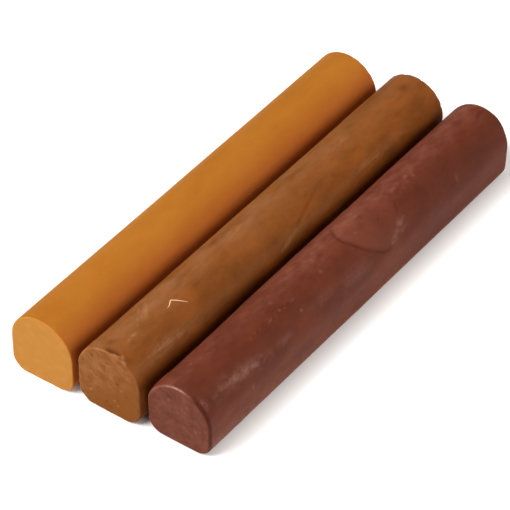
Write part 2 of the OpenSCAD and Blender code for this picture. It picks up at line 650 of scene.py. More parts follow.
def strewn_crumbs(grid, seed):
    """Crumbs strewn over a patch of skin, each a bell curve of its own size. Highest is 1."""
    draw = np.random.default_rng(seed)
    along = draw.uniform(*CRUMB_ALONG, CRUMBS)
    walk = draw.uniform(*CRUMB_WALK, CRUMBS)
    size = draw.uniform(*CRUMB_SIZES, CRUMBS)
    return spots(grid, zip(along, walk, size, size, np.ones(CRUMBS)))


def drag_marks(grid, seed):
    """Parallel scratches that climb from the crown to the left near the end, each a straight score."""
    draw = np.random.default_rng(seed)
    starts = draw.uniform(*DRAG_STARTS, DRAG_MARKS)
    reaches = draw.uniform(*DRAG_REACHES, DRAG_MARKS)
    return scores(grid, [
        ([(start, DRAG_WALK), (start + reach, DRAG_WALK + reach * DRAG_SLOPE)], DRAG_HALF_WIDTH, 1)
        for start, reach in zip(starts, reaches)])


def tear_marks(grid, cell, seed):
    """Noise in long slanting cells across an end face, as a blunt blade leaves it."""
    aslant = grid.y * np.cos(TEAR_SLANT) + grid.z * np.sin(TEAR_SLANT)
    square_on = grid.z * np.cos(TEAR_SLANT) - grid.y * np.sin(TEAR_SLANT)
    return grid.face * lumps(np.stack([grid.x, aslant, square_on], -1), cell, seed)


brown_grid = grids["brown_stick"]
print("highest crumb", strewn_crumbs(brown_grid, seed=25).max().round(2))

# %% Forms of the brown skin
STROKE_SLANT, BRUSH_SLANT = -18, -4
FINE_GRANULES = 0.6
# Middle and width of the lip pushed up along the near edge, in mm round from the crown
LIP = (-0.8, 1.8)


def brown_forms(grid):
    """The brown skin's forms: noise in long and slanting cells, lines, pits, crumbs and a torn face."""
    broken = ramp(lumps(grid.points, (6, 3, 3), seed=30), -0.1, 0.4)
    strokes = slanted(grid, STROKE_SLANT, (3.2, 0.5), seed=29)
    fine = grid.face * lumps(grid.points, 0.5, seed=27)
    coarse = grid.face * lumps(grid.points, 1.5, seed=32)
    return {
        "waves": lumps(grid.points, (13, 5, 5), seed=21),
        "streaks": lumps(grid.points, (9, 0.9, 0.9), seed=22),
        "scuffs": lumps(grid.points, (1.8, 0.9, 0.9), seed=23),
        "patches": lumps(grid.points, (5, 2.6, 2.6), seed=33),
        "strokes": broken * ramp(strokes, 0.25, 0.75),
        "brushed": ramp(slanted(grid, BRUSH_SLANT, (3.0, 0.45), seed=35), -0.4, 0.4),
        "holes": pinholes(grid, 60, 0.28, seed=24),
        "crease": score(grid, CREASE, 0.28),
        "drags": drag_marks(grid, seed=20),
        "crevice": score(grid, CREVICE, 0.4),
        "crumbs": strewn_crumbs(grid, seed=25),
        "granules": FINE_GRANULES * fine + coarse,
        "torn": tear_marks(grid, (1, 1.9, 0.7), seed=26),
        "end_pits": grid.face * ramp(lumps(grid.points, 0.8, seed=28), 0.4, 0.7),
        "chips": grid.edge * ramp(lumps(grid.points, 0.8, seed=31), 0.0, 0.5),
        # Raised shreds on the near face, painted pale as glints
        "shreds_and_painted_glints": face_spots(grid, BROWN_SHREDS_AND_GLINTS, SHRED_SIZE),
        "lip": near_edge(grid) * band(grid, *LIP),
        "shrunk": left_shoulder(grid),
        "edge": grid.edge}


brown = brown_forms(brown_grid)
print("brown skin has", len(brown), "forms")

# %% [markdown]
# ### Adding up the brown skin
#
# Most forms only stir the skin a little below the solid's own, so that the stick keeps its size. The
# crumbs are the exception: they are heaped on top, and kept below the highest line of the solid.

# %% Height of the brown skin
# Heights and depths in mm
BROWN_RAISED = {
    "waves": 0.05, "streaks": 0.02, "scuffs": 0.022, "granules": 0.04, "torn": 0.03, "shreds_and_painted_glints": 0.12}
BROWN_SUNK = 0.05
BROWN_HEAPED = {"crumbs": 0.3}
BROWN_CUT = {
    "holes": 0.07, "crease": 0.06, "drags": 0.03, "strokes": 0.015, "crevice": 0.28,
    "end_pits": 0.12, "chips": 0.12, "shrunk": 0.12}
# Least rise of the normal by which the room up to the crown's height is divided
LEAST_RISE = 0.1


def under_crown(grid, height):
    """Height kept below the top of the solid: the room left above a point, measured along its normal."""
    room = (grid.height - grid.z) / np.maximum(grid.normals[..., 2], LEAST_RISE)
    return np.where(grid.base > 0, height, np.minimum(height, room))


brown_height = settle(brown_grid, added(brown, BROWN_RAISED), BROWN_SUNK)
brown_height = brown_height + added(brown, BROWN_HEAPED) - added(brown, BROWN_CUT)
brown_height = under_crown(brown_grid, brown_height)
print("brown relief in mm from", brown_height.min().round(3), "to", brown_height.max().round(3))

# %% [markdown]
# ### Where the brown stick is worn and dirty, and where light and shade are painted on it
#
# Handling leaves more colour than shape: the end face is pressed pale at its upper left, and dry wax
# shows along the right shoulder. Light and shade are painted into the colour as well: a paler sheen
# over the top in patches, a band of light along the right shoulder, and shade low on the right flank
# that deepens towards the far end. These could be painted by hand, but sums of bands and ramps
# follow the relief exactly.

# %% Masks of the brown skin
# Bands are a middle and a width round from the crown, and stretches a start and an end, in mm
# Painted sheen: a paler band over the top, fading towards the far end
BROWN_SHEEN_BAND, SHEEN_FADES = (-1.6, 3.4), (70, 50)
# Painted light: a paler band along the right shoulder, over the near and middle stretches
BROWN_LIT_SHOULDER, LIT_SHOULDER_ENDS = (5.8, 0.9), (62, 45)
# Painted shade: darker low on the right flank, deeper towards the far end
LOW_SHADE_ROUND, LOW_SHADE_GROWS = (6.2, 8), (30, 60)
# Stretch in mm up over which the end face is pressed, and how much a step to the left adds to it
PRESS_RISE, PRESS_SLOPE = (1.5, 8.5), 0.7
# Range of the scuffs' noise over which a smudge grows
SMUDGES = (0.45, 0.8)
# Shares that are left where the painted sheen on the top, the painted shade and the brushed bloom are
# faintest
SHEEN_FAINTEST, LOW_SHADE_LEAST, BRUSH_LEAST = 0.55, 0.45, 0.35
BROWN_TOP_SHEEN = {"even": 0.55, "streaks": 0.15, "scuffs": 0.35, "patches": 0.4}
BROWN_PRESSED = {"even": 0.35, "granules": 0.5, "torn": 0.3}
# Dirt spots and smudges, the painted shade low on the right flank, and a darker crevice
BROWN_DIRT_AND_SHADE = {"dirt_spots": 1, "painted_far_shade": 0.4, "crevice": 1.2, "smudges": 0.3}
BROWN_MASKS = {
    "hollow": {"holes": 0.25, "end_pits": 0.55, "crease": 0.45, "strokes": 0.15, "chips": 0.35},
    "bloom_and_painted_light": {"dry": 1, "scrapes": 1, "drags": 0.45, "shreds_and_painted_glints": 0.6, "lip": 0.4, "crumbs": 0.4},
    "stain_and_painted_light": {"dirt_and_shade": 1},
    "worn": {"edge": 0.5, "crumbs": 0.6, "polish_and_painted_sheen": 1, "painted_shoulder_light": 0.3, "pressed": 1}}


def brown_marks(grid, forms):
    """Where the brown wax is pressed, dry, scraped or dirty, and where sheen, light and shade are
    painted.

    Each is a bell curve or a ramp along and round the stick, broken up by the skin's forms.
    """
    forms = {**forms, "even": 1}
    side = 1 - grid.face
    top = band(grid, *BROWN_SHEEN_BAND) * partly(ramp(grid.x, *SHEEN_FADES), SHEEN_FAINTEST) * side
    upper_left = grid.face * ramp(grid.z + PRESS_SLOPE * grid.y, *PRESS_RISE)
    lower_flank = ramp(grid.walk, *LOW_SHADE_ROUND) * grid.body
    forms["dirt_spots"] = spots(grid, BROWN_DIRT)
    # Painted shade low on the right flank, deeper towards the far end
    forms["painted_far_shade"] = lower_flank * partly(ramp(grid.x, *LOW_SHADE_GROWS), LOW_SHADE_LEAST)
    forms["smudges"] = ramp(forms["scuffs"], *SMUDGES) * side
    return {
        # Painted sheen over the top, broken up by the skin's noise
        "polish_and_painted_sheen": top * added(forms, BROWN_TOP_SHEEN),
        # Painted light along the right shoulder
        "painted_shoulder_light": band(grid, *BROWN_LIT_SHOULDER) * ramp(grid.x, *LIT_SHOULDER_ENDS) * side,
        "pressed": upper_left * added(forms, BROWN_PRESSED),
        "dry": spots(grid, BROWN_DRY) * partly(forms["brushed"], BRUSH_LEAST),
        "scrapes": scores(grid, BROWN_SCRAPES),
        # Dirt and painted shade, kept off the crumbs
        "dirt_and_shade": added(forms, BROWN_DIRT_AND_SHADE) * (1 - forms["crumbs"])}


brown_masks = finish_masks(brown_grid, {**brown, **brown_marks(brown_grid, brown)}, BROWN_MASKS)
print("brown masks, mean:", {mask: values.mean().round(3) for mask, values in brown_masks.items()})

# %% [markdown]
# ## The mahogany stick's relief
#
# The dark stick set in two goes: an egg-shaped lap of later wax lies over the crown, with a crease
# along its near and lower rim. Beside it the skin is crumbly, the far end is worn round, a pale dry
# bloom has formed along the right shoulder, and the flank below it is painted paler as a sheen. The
# rim over the near face is polished by handling, and its glint is painted pale.

# %% Places of the mahogany stick's marks
# Lines and spots as on the brown stick, but the break and the rough band have no strength of their own
LAP_BREAK = (43.6, 5.1, 0.9, 0.8)
LAP_MARKS = (
    ([(53.4, 1.6), (52.4, 2.9), (51.4, 4.0)], 0.25, 0.6), ([(47.3, 3.0), (50.2, 0.8)], 0.2, 0.3),
    ([(77.2, 1.4), (78.7, 0.7), (80.4, 0.9)], 0.3, 0.6),
    ([(45.6, -0.4), (46.4, 0.3), (47.0, -0.2)], 0.16, 0.3))
CRUMBLY = (
    (57.5, 0.4, 5.5, 1.9, 1), (66, 0.0, 6, 1.5, 0.6), (22, 0.4, 7, 2.6, 0.7),
    (34, -0.4, 5, 2.4, 0.85), (7, -1.4, 8, 2.4, 0.55), (46, -1, 3, 2, 0.5))
ROUGH_BAND = (21, 2.2, 8, 0.5)
DUST_STREAKS = (
    ([(2.6, 5.3), (6.2, 4.8), (11, 5.4), (17, 6.3)], 1.0, 0.3),
    ([(47.5, 6.9), (49.8, 5.7), (52.8, 4.4)], 0.75, 0.38), ([(50.4, 6.5), (52.8, 5.3)], 0.35, 0.28))
DUST_PATCHES = (
    (19.8, 6.0, 1.6, 0.6, 0.15), (1.0, 4.8, 0.5, 0.9, 0.25),
    (38, 6.2, 4, 1.3, 0.12), (30, 5.4, 4, 0.9, 0.08))
SPECKS = (
    (33.2, 2.0, 0.25, 0.25, 0.4), (25.5, 4.4, 0.22, 0.22, 0.22), (10.9, 8.4, 0.2, 0.5, 0.25),
    (25.5, 2.3, 0.5, 0.25, 0.12), (66.3, 6.0, 0.3, 0.6, 0.2), (44.5, -1.6, 0.3, 0.25, 0.2),
    (43.4, 1.3, 0.22, 0.22, 0.2), (46.4, -0.9, 0.5, 0.2, 0.15), (28.6, -1.2, 0.3, 0.25, 0.15))
# Raised shreds on the near face, painted pale as glints, in mm across and up
MAHOGANY_SHREDS_AND_GLINTS = ((0.0, 6.3), (-3.2, 4.2), (1.6, 8.2), (-1.4, 7.2))
print("mahogany marks:", len(CRUMBLY), "crumbly,", len(SPECKS), "specks")

# %% [markdown]
# ### The lap
#
# Wax that runs over a skin already set leaves a lap: a low swell, with a crease where its rim did not
# melt in. Joining two solids would cut the crease too sharply. An oval on the unrolled skin, with its
# own size and power above and below, gives the egg, and one curve across its rim gives the crease.

# %% The lap over the crown
# Middle of the lap, its reach along, and its climb to the left and fall to the right, in mm
LAP_ALONG, LAP_WALK = 47.15, 0.85
LAP_REACH, LAP_CLIMB, LAP_FALL = 6.6, 5.0, 6.2
LAP_CLIMB_POWER, LAP_FALL_POWER = 2.0, 1.6
# Direction, from straight towards the near end, in which the crease is deepest, and the cosines of
# the turn from it at which the crease starts and is full
LAP_DEEPEST = np.radians(20)
LAP_CREASED = (-0.25, 0.75)
# The crease also fades out to the left, in mm round from the crown
LAP_CREASE_ROUND = (-5, -1)
# Unevenness of the rim, width of its crease and width of the rise inside it, as shares of the half sizes
LAP_WOBBLE, LAP_RIM_WIDTH, LAP_RISE = 0.04, 0.04, 0.16
# Shares of the full swell at the middle of the lap and on its far side, and what the break takes away
LAP_MIDDLE_SWELL, LAP_FAR_SWELL, LAP_BREAK_SHARE = 0.35, 0.35, 0.8


def lap_forms(grid):
    """The crease round the lap and the swell inside it.

    The offsets along and round, each over its own half size and to the same power, add up to 1 on the
    rim. The upper half is an ellipse, and the lower power of the lower half draws it to a point. The
    crease is a bell curve across the rim, and the swell rises from the rim inwards.
    """
    along = (grid.x - LAP_ALONG) / LAP_REACH
    climb = grid.walk - LAP_WALK
    power = np.where(climb < 0, LAP_CLIMB_POWER, LAP_FALL_POWER)
    climb = climb / np.where(climb < 0, LAP_CLIMB, LAP_FALL)
    radius = (np.abs(along) ** power + np.abs(climb) ** power) ** (1 / power)
    radius = radius + LAP_WOBBLE * lumps(grid.points, 3.0, seed=34)
    toward = np.cos(np.arctan2(climb, -along) - LAP_DEEPEST)
    near_rim = ramp(toward, *LAP_CREASED) * (1 - grid.face)
    crease = bell(radius - 1, LAP_RIM_WIDTH) * near_rim * ramp(grid.walk, *LAP_CREASE_ROUND)
    swell = ramp(1 - radius, 0.0, LAP_RISE) * np.clip(LAP_MIDDLE_SWELL + radius, 0, 1)
    return {
        "rim": crease * (1 - LAP_BREAK_SHARE * spot(grid, *LAP_BREAK)),
        "lobe": swell * partly(near_rim, LAP_FAR_SWELL)}


mahogany_grid = grids["mahogany_stick"]
lap = lap_forms(mahogany_grid)
print("deepest crease", lap["rim"].max().round(2), "highest swell", lap["lobe"].max().round(2))

# %% Forms of the mahogany skin
TICK_SLANT = -15
# The left shoulder shrank most from here to the near end, in mm along
SHRUNK_NEAR = (28, 14)


def mahogany_forms(grid):
    """The mahogany skin's forms: lumps of several sizes, crumbly patches, lines and pits."""
    return {
        "waves": lumps(grid.points, (11, 6, 6), seed=31),
        "knobs": lumps(grid.points, (2.8, 2.0, 2.0), seed=32),
        "scuffs": lumps(grid.points, (1.5, 0.8, 0.8), seed=33),
        "marks": scores(grid, LAP_MARKS),
        "crumbly": spots(grid, CRUMBLY) * lumps(grid.points, (0.95, 0.75, 0.75), seed=35),
        "ticks": spot(grid, *ROUGH_BAND) * slanted(grid, TICK_SLANT, (0.9, 0.4), seed=39),
        "holes": pinholes(grid, 40, 0.26, seed=36),
        "granules": grid.face * lumps(grid.points, 0.7, seed=37),
        "torn": tear_marks(grid, (1, 2.2, 0.6), seed=38),
        # Raised shreds on the near face, painted pale as glints
        "shreds_and_painted_glints": face_spots(grid, MAHOGANY_SHREDS_AND_GLINTS, SHRED_SIZE),
        "shrunk": left_shoulder(grid),
        "shrunk_near": left_shoulder(grid) * ramp(grid.x, *SHRUNK_NEAR)}


mahogany = {**mahogany_forms(mahogany_grid), **lap}
print("mahogany skin has", len(mahogany), "forms")

# %% Height of the mahogany skin
# Heights and depths in mm
MAHOGANY_RAISED = {
    "waves": 0.06, "knobs": 0.022, "scuffs": 0.014, "crumbly": 0.15, "ticks": 0.07,
    "granules": 0.010, "torn": 0.006, "lobe": 0.10, "shreds_and_painted_glints": 0.12}
MAHOGANY_SUNK = 0.07
MAHOGANY_CUT = {"rim": 0.07, "marks": 0.04, "holes": 0.06, "shrunk": 0.06, "shrunk_near": 0.15}

mahogany_height = settle(mahogany_grid, added(mahogany, MAHOGANY_RAISED), MAHOGANY_SUNK)
mahogany_height = mahogany_height - added(mahogany, MAHOGANY_CUT)
print("mahogany relief in mm from", mahogany_height.min().round(3), "to", mahogany_height.max().round(3))

# %% [markdown]
# ### Where the mahogany stick is dusty and polished, and where light and shade are painted on it
#
# On dark wax dust shows first: pale streaks lie along the right shoulder, with specks round about.
# Light and shade are painted on as well: a sheen over the top that grows towards the far end, a sheen
# down the right flank, light low on that flank near the end, standing in for light thrown up from the
# table, and shade on the right of the crown towards the far end. The rim over the near face is
# polished, its glint is painted pale over the top and faintly down the left, and painted shade lies
# along its right side.

# %% Masks of the mahogany skin
# Bands and stretches as on the brown stick, in mm
# Painted glints: a pale polished rim over the top of the near face, and a faint one down its left
GLINT_RIM, LEFT_GLINT_RIM = (-0.1, 1.9), (-5.5, 3.5)
# Painted sheen: a paler band over the top, growing towards the far end
MAHOGANY_SHEEN_BAND, SHEEN_GROWS = (-2.0, 2.9), (16, 34)
# Painted shade along the right side of the near rim
SHADE_ALONG, SHADE_ROUND = (0.85, 0.5), (2.4, 4.4)
# Painted sheen down the right flank
FLANK_SHEEN_ROUND = (6, 10)
# Painted light low on the right flank near the end, standing in for light thrown up from the table
LOW_FLANK_LIGHT_ROUND, LOW_FLANK_LIGHT_ENDS = (10, 13.5), (40, 5)
# Painted shade on the right of the crown, growing towards the far end
FAR_SHADE_GROWS, FAR_SHADE_ROUND = (40, 65), (1.5, 4)
# How much of a point is end face where the painted shade starts, and where it is full
SHADE_FACE = (1, 0.75)
# Ranges of noise over which dust closes up, and over which crumbly places and ticks show
DUST_GAPS, CRUMBLY_HIGH, CRUMBLY_LOW, TICKS_SHOW = (-0.6, 0.3), (0.1, 0.6), (0.12, 0.6), (0.1, 0.5)
# Shares that are left where the painted sheen on the top and the dust are faintest
SHEEN_LEAST, DUST_LEAST = 0.6, 0.3
MAHOGANY_TOP_SHEEN = {"even": 0.55, "knobs": 0.35, "scuffs": 0.35}
MAHOGANY_PRESSED = {"even": 0.25, "knobs": 0.25, "granules": 0.2}
DUST_BREAK = {"scuffs": 1, "knobs": 0.5}
MAHOGANY_MASKS = {
    "hollow": {"holes": 0.25, "rim": 0.7, "marks": 1, "crumbly_low": 0.35, "ticks_low": 0.4},
    "bloom_and_painted_light": {"dust": 1, "specks": 1, "crumbly_high": 0.18, "ticks_high": 0.06, "shreds_and_painted_glints": 0.2,
              "rim_polish_and_painted_glint": 0.9, "left_rim_painted_glint": 0.15, "flank": 0.03, "near_flank": 0.2},
    "stain_and_painted_light": {"shade": 1, "painted_far_shade": 0.3},
    "worn": {"rim_polish_and_painted_glint": 1, "left_rim_painted_glint": 0.4, "pressed": 1, "polish_and_painted_sheen": 1, "flank": 0.03,
             "near_flank": 0.2, "lobe": 0.3, "ticks_high": 0.3},
    "polish": {"rim_polish_and_painted_glint": 1}}


def mahogany_marks(grid, forms):
    """Where the mahogany wax is dusty, pressed or crumbly, and where sheen, glints and shade are
    painted.

    Each is a bell curve or a ramp along and round the stick, broken up by the skin's forms.
    """
    forms = {**forms, "even": 1}
    behind_rim = ramp(grid.face, *SHADE_FACE) * ramp(grid.x, *SHADE_ALONG)
    top = band(grid, *MAHOGANY_SHEEN_BAND) * partly(ramp(grid.x, *SHEEN_GROWS), SHEEN_LEAST) * (1 - grid.face)
    broken = partly(ramp(added(forms, DUST_BREAK), *DUST_GAPS), DUST_LEAST)
    return {
        # Painted glints along the polished near rim, over the top and faintly down the left
        "rim_polish_and_painted_glint": near_edge(grid) * band(grid, *GLINT_RIM),
        "left_rim_painted_glint": near_edge(grid) * band(grid, *LEFT_GLINT_RIM),
        # Painted shade along the right side of the near rim
        "shade": behind_rim * ramp(grid.walk, *SHADE_ROUND) * (1 - grid.base),
        # Painted sheen over the top
        "polish_and_painted_sheen": top * added(forms, MAHOGANY_TOP_SHEEN),
        "pressed": grid.face * added(forms, MAHOGANY_PRESSED),
        # Painted sheen down the right flank, and painted light low on it near the end
        "flank": ramp(grid.walk, *FLANK_SHEEN_ROUND) * grid.body,
        "near_flank": ramp(grid.walk, *LOW_FLANK_LIGHT_ROUND) * ramp(grid.x, *LOW_FLANK_LIGHT_ENDS) * grid.body,
        # Painted shade on the right of the crown towards the far end
        "painted_far_shade": ramp(grid.x, *FAR_SHADE_GROWS) * ramp(grid.walk, *FAR_SHADE_ROUND) * grid.body,
        "dust": scores(grid, DUST_STREAKS) * broken + spots(grid, DUST_PATCHES),
        "specks": spots(grid, SPECKS),
        "crumbly_high": ramp(forms["crumbly"], *CRUMBLY_HIGH),
        "crumbly_low": ramp(-forms["crumbly"], *CRUMBLY_LOW),
        "ticks_high": ramp(forms["ticks"], *TICKS_SHOW),
        "ticks_low": ramp(-forms["ticks"], *TICKS_SHOW)}


mahogany_masks = finish_masks(
    mahogany_grid, {**mahogany, **mahogany_marks(mahogany_grid, mahogany)}, MAHOGANY_MASKS)
print("mahogany masks, mean:", {mask: values.mean().round(3) for mask, values in mahogany_masks.items()})

# %% [markdown]
# ## From arrays to meshes
#
# The relief moves every grid point along its normal. Quads join neighbouring rings all the way round,
# and a fan of triangles closes each end at its middle, so the skin is one closed shell. The masks go
# along as named attributes, for the finish to read.

# %% Close the grid


def closed_faces(rings, around):
    """Quads between neighbouring rings, wrapped round, then a fan of triangles from each pole."""
    first = np.arange(rings * around).reshape(rings, around)
    after = np.roll(first, -1, axis=1)
    quads = np.stack([first[:-1], after[:-1], after[1:], first[1:]], -1).reshape(-1, 4)
    near_pole = np.full(around, rings * around)
    far_pole = near_pole + 1
    near_fan = np.stack([near_pole, after[0], first[0]], -1)
    far_fan = np.stack([far_pole, first[-1], after[-1]], -1)
    return quads.tolist() + near_fan.tolist() + far_fan.tolist()


def with_poles(values):
    """A grid of values as one list, then the mean of its first and of its last ring for the poles."""
    listed = values.reshape(-1, *values.shape[2:])
    return np.concatenate([listed, values[:1].mean(1), values[-1:].mean(1)])


print("a grid of 3 by 4 closes with", len(closed_faces(3, 4)), "faces")

# %% Build the three skins


def wax_skin(name, grid, height, masks, body):
    """The mesh of one stick, riding on its body in place of the plain solid."""
    points = with_poles(grid.points + height[..., None] * grid.normals) + grid.origin
    mesh = bpy.data.meshes.new(name)
    mesh.from_pydata(points * MM, [], closed_faces(*grid.walk.shape))
    mesh.shade_smooth()
    for mask, values in {**masks, "face": grid.face}.items():
        attribute = mesh.attributes.new(mask, "FLOAT", "POINT")
        attribute.data.foreach_set("value", with_poles(values).astype(np.float32))
    piece = bpy.data.objects.new(name, mesh)
    bpy.context.scene.collection.objects.link(piece)
    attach(piece, body)
    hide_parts(grid.node)
    print(name, len(mesh.polygons), "faces")
    return piece


ochre_skin = wax_skin("ochre_skin", ochre_grid, ochre_height, ochre_masks, "ochre")
brown_skin = wax_skin("brown_skin", brown_grid, brown_height, brown_masks, "brown")
mahogany_skin = wax_skin("mahogany_skin", mahogany_grid, mahogany_height, mahogany_masks, "mahogany")

# %% [markdown]
# ## A sliver on the brown stick
#
# A thin pale shaving, bent in the middle, clings to the top of the brown stick. It is far finer than
# the grid, so it is a piece of its own: a small round profile carried along a bent path that lies on
# the skin, thick in the middle and drawn out to points.

# %% Carry a profile along the sliver's path
# Path in mm along and round, like the other marks
SLIVER_PATH = np.array([(12.1, 1.5), (13.5, 1.3), (14.55, 0.75), (15.5, 1.85), (16.6, 3.15)])
# Radius and depth below the plain skin in mm, and the share of the radius that is left at the tips
SLIVER_RADIUS = 0.12
SLIVER_SINK = 0.1
SLIVER_TIP = 0.15
SLIVER_RINGS, SLIVER_SIDES = 48, 8
# Weights that round off the path's corners, and how many steps they reach to either side
SLIVER_BLUR = np.array([1, 3, 4, 3, 1]) / 12
SLIVER_BLUR_REACH = 2


def sliver_path(share):
    """Along and round of the path at shares of its stretches, its corners rounded by a moving mean."""
    corner = np.linspace(0, 1, len(SLIVER_PATH))
    straight = (np.interp(share, corner, values) for values in SLIVER_PATH.T)
    padded = (np.pad(values, SLIVER_BLUR_REACH, mode="edge") for values in straight)
    return [np.convolve(values, SLIVER_BLUR, mode="valid") for values in padded]


def sliver_points(grid):
    """Rings round a path on the skin: circles in the plane of the normal and the sideways direction.

    Their radius is a sine of the share of the path, from a small tip to the full radius and back.
    """
    share = np.linspace(0, 1, SLIVER_RINGS)
    along, walk = sliver_path(share)
    across, up, normal_across, normal_up = section(walk, grid.width, grid.height)
    path = np.stack([along, across, up], -1)
    normal = np.stack([0 * along, normal_across, normal_up], -1)
    sideways = np.cross(np.gradient(path, axis=0), normal)
    sideways /= np.linalg.norm(sideways, axis=-1, keepdims=True)
    taper = SLIVER_TIP + (1 - SLIVER_TIP) * np.sin(np.pi * share)
    radius = SLIVER_RADIUS * taper[:, None, None]
    angle = np.linspace(0, 2 * np.pi, SLIVER_SIDES, endpoint=False)[None, :, None]
    ring = radius * (np.cos(angle) * normal[:, None] + np.sin(angle) * sideways[:, None])
    return path[:, None] - SLIVER_SINK * normal[:, None] + ring + grid.origin


sliver_mesh = bpy.data.meshes.new("brown_sliver")
sliver_mesh.from_pydata(with_poles(sliver_points(brown_grid)) * MM, [],
                        closed_faces(SLIVER_RINGS, SLIVER_SIDES))
sliver_mesh.shade_smooth()
sliver = bpy.data.objects.new("brown_sliver", sliver_mesh)
bpy.context.scene.collection.objects.link(sliver)
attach(sliver, "brown")
print("sliver of", len(sliver_mesh.polygons), "faces")

# %% [markdown]
# ## Finishes: colours and nodes
#
# Colours are written as the eye would pick them on a screen, in sRGB hex, and turned to the linear
# values that light adds up in. One small helper adds a node, sets it and wires it in.

# %% Colour and node helpers


def linear(hex_colour):
    """An sRGB hex colour as linear red, green, blue and full alpha, by the standard's own curve."""
    srgb = np.array([int(hex_colour[n:n + 2], 16) for n in (1, 3, 5)]) / 255
    return (*np.where(srgb <= 0.04045, srgb / 12.92, ((srgb + 0.055) / 1.055) ** 2.4), 1.0)


def add_node(tree, kind, sockets=None, **settings):
    """A shader node with its settings, and each socket set to a value or linked to an output."""
    node = tree.nodes.new(kind)
    for name, value in settings.items():
        setattr(node, name, value)
    for name, value in (sockets or {}).items():
        if isinstance(value, bpy.types.NodeSocket):
            tree.links.new(value, node.inputs[name])
        else:
            node.inputs[name].default_value = value
    return node


print("mid grey in linear light:", round(linear("#808080")[0], 3))

# %% [markdown]
# ## Cast wax
#
# Repair wax is a soft blend of waxes loaded with pigment. Cast against a trough it has a dull satin
# skin: the colour is cloudy where the pigment settled unevenly, hollows are painted darker, worn
# edges and dry bloom are paler, and a little light passes under the surface and softens the edges.
# The pale layers also carry painted sheen and glints, and the stain layer painted shade and bounce
# light.
# One recipe serves all three sticks, with their own colours and sizes of cloud. The colour is built
# in layers, each mixed over the last one by a noise or by one of the masks.

# %% Layers of colour in the wax
FLECK_MM = 0.7
# Shares of the colours of a cut face and of the stain layer, with its painted shade, where their masks
# are full
CUT_SHARE = 0.85
DARKENING_SHARE = 0.8


def cells_per_metre(size_mm):
    """Noise scale, in cells per metre, for patches of the given size in millimetres."""
    return 1000 / size_mm


def wax_colour(tree, place, masks, patchy, tints, cloud_mm, stretch):
    """Colour of the wax: clouds and flecks of the light tint over the deep one, then one tint a mask."""
    drawn = add_node(tree, "ShaderNodeMapping", {"Vector": place, "Scale": (1 / stretch, 1, 1)})
    clouds = add_node(tree, "ShaderNodeTexNoise", {
        "Vector": drawn.outputs[0], "Scale": cells_per_metre(cloud_mm), "Detail": 5.0, "Roughness": 0.6})
    flecks = add_node(tree, "ShaderNodeTexNoise", {
        "Vector": place, "Scale": cells_per_metre(FLECK_MM), "Detail": 3.0, "Roughness": 0.65})
    cloud = add_node(tree, "ShaderNodeMapRange", {
        "Value": clouds.outputs["Fac"], "From Min": 0.32, "From Max": 0.68})
    fleck = add_node(tree, "ShaderNodeMapRange", {
        "Value": flecks.outputs["Fac"], "From Min": 0.55, "From Max": 0.8, "To Max": 0.35})
    patch = add_node(tree, "ShaderNodeMapRange", {
        "Value": patchy, "From Min": 0.35, "From Max": 0.65, "To Min": 0.2})
    cut = add_node(tree, "ShaderNodeMath", {0: masks["face"], 1: CUT_SHARE}, operation="MULTIPLY")
    # Pale bloom with its painted sheen and glints, broken up by the patches
    bloom_and_light_share = add_node(tree, "ShaderNodeMath", {
        0: masks["bloom_and_painted_light"], 1: patch.outputs[0]}, operation="MULTIPLY")
    # The stronger of the stain layer, with its painted shade and bounce light, and the darkened hollows
    darkening = add_node(tree, "ShaderNodeMath", {
        0: masks["stain_and_painted_light"], 1: masks["hollow"]}, operation="MAXIMUM")
    darkening_share = add_node(tree, "ShaderNodeMath", {
        0: darkening.outputs[0], 1: DARKENING_SHARE}, operation="MULTIPLY")
    layers = (
        (cloud.outputs[0], "light"), (fleck.outputs[0], "light"), (cut.outputs[0], "end"),
        (masks["worn"], "worn"), (bloom_and_light_share.outputs[0], "bloom_and_painted_light"), (darkening_share.outputs[0], "stain_and_painted_light"))
    colour = linear(tints["deep"])
    for share, tint in layers:
        mixed = add_node(tree, "ShaderNodeMix", {
            0: share, 6: colour, 7: linear(tints[tint])}, data_type="RGBA")
        colour = mixed.outputs[2]
    return colour


print("clouds of 5 mm:", cells_per_metre(5), "cells per metre")

# %% [markdown]
# ### The wax's surface
#
# The skin is satin and a little uneven in gloss, with a grain that only softens the highlight. The
# noise that breaks up the bloom also varies the roughness, so that dusty patches look dry. Wax lets
# some light in, and red reaches furthest, which warms the edges.

# %% The wax recipe
PATCH_MM = 1.2
# Real wax has a grain of a few hundredths of a millimetre, too fine to show here, so it is drawn coarser
GRAIN_MM = 0.35
# How much smoother and rougher than its mean the skin gets, and how much smoother polish makes it
SMOOTHER, ROUGHER, POLISH = 0.08, 0.1, 0.42
# Typical refractive index of wax
WAX_IOR = 1.44
# Share of the light that passes under the skin, and how far its red, green and blue reach, in mm
GLOW_SHARE = 0.4
GLOW_REACH = (1.0, 0.45, 0.2)


